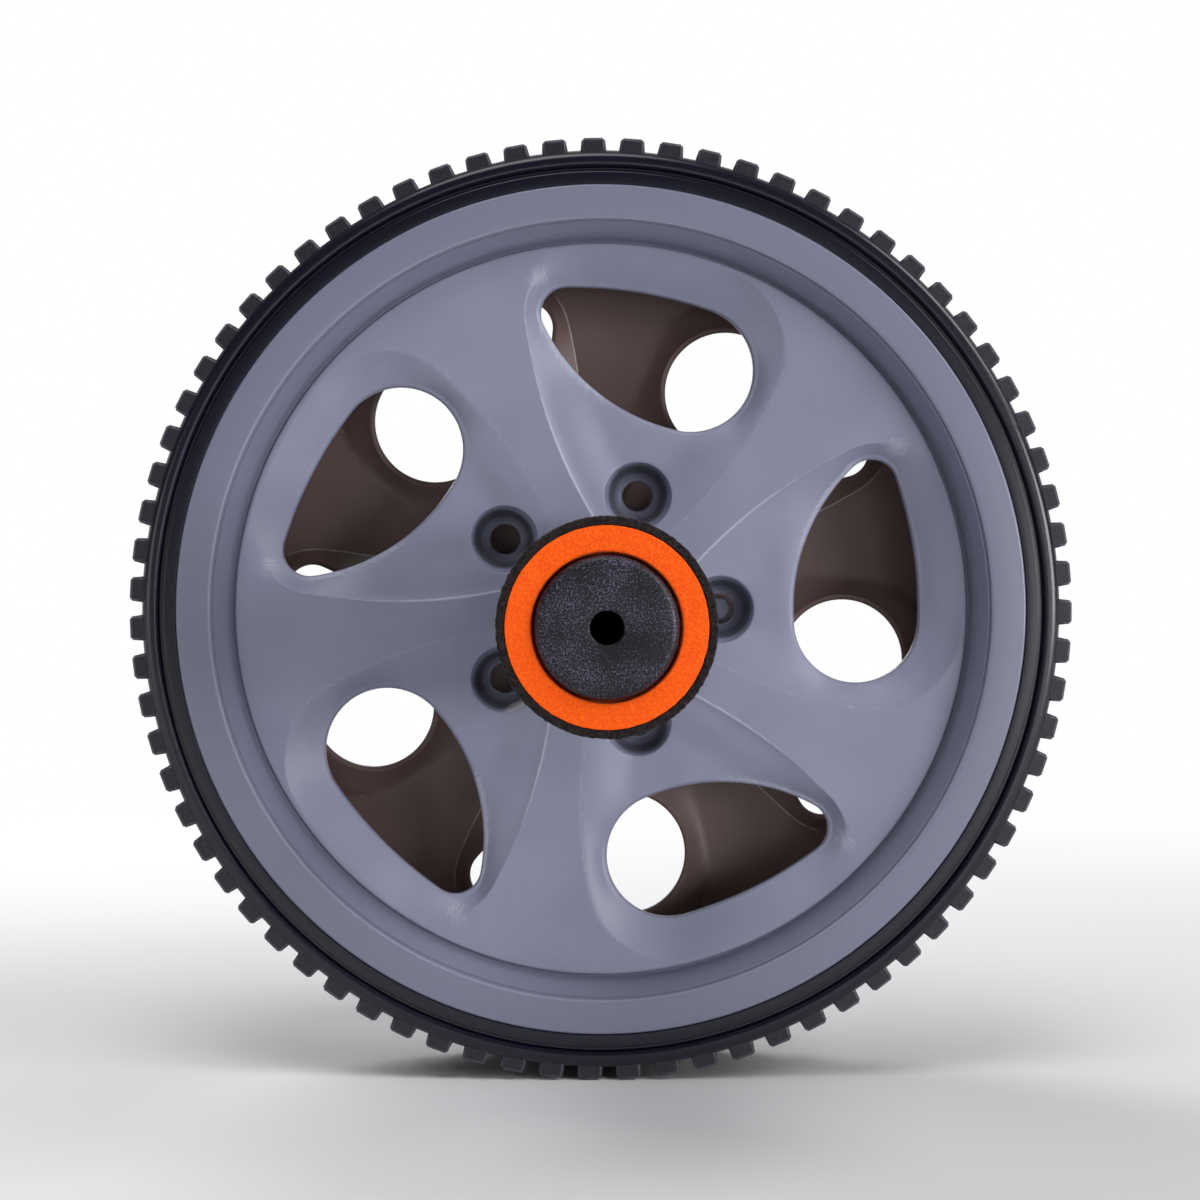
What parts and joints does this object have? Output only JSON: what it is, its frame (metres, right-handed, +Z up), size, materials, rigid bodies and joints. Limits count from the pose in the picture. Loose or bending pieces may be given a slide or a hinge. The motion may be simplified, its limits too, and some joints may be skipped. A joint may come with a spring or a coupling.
{
  "type": "ab wheel roller",
  "caption": "Exercise roller: a lugged wheel with a windowed moulded rim, turning on an axle between foam-covered handles.",
  "frame": {"origin": "the wheel's centre, on the axle at the mid plane between the two wheel halves", "axes": "+Y along the axle towards the rear handle, +Z up, +X to the right when seen from the front handle"},
  "size_m": [0.185, 0.27, 0.185],
  "materials": {
    "shell": "moulded satin polypropylene",
    "tyre": "moulded thermoplastic rubber",
    "steel": "drawn steel bar",
    "spring_steel": "black oxide",
    "bush": "moulded nylon",
    "handle": "spark-textured moulded polypropylene",
    "orange_foam": "open-cut foam",
    "grip_skin": "porous foam skin"
  },
  "bodies": {
    "handle_bar": {"axle": "steel", "thrust_washer_front": "steel", "axle_clip_front": "spring_steel", "handle_core_front": "handle", "foam_sleeve_front": "orange_foam", "grip_skin_front": "grip_skin", "thrust_washer_rear": "steel", "axle_clip_rear": "spring_steel", "handle_core_rear": "handle", "foam_sleeve_rear": "orange_foam", "grip_skin_rear": "grip_skin"},
    "wheel": {"wheel_shell_front": "shell", "wheel_shell_rear": "shell", "tyre": "tyre", "hub_bush_front": "bush", "hub_bush_rear": "bush"}
  },
  "joints": [
    {"name": "wheel_spin", "type": "hinge", "parent": "handle_bar", "child": "wheel", "pos_m": [0, 0, 0], "axis": [0, 1, 0], "continuous": true}
  ]
}
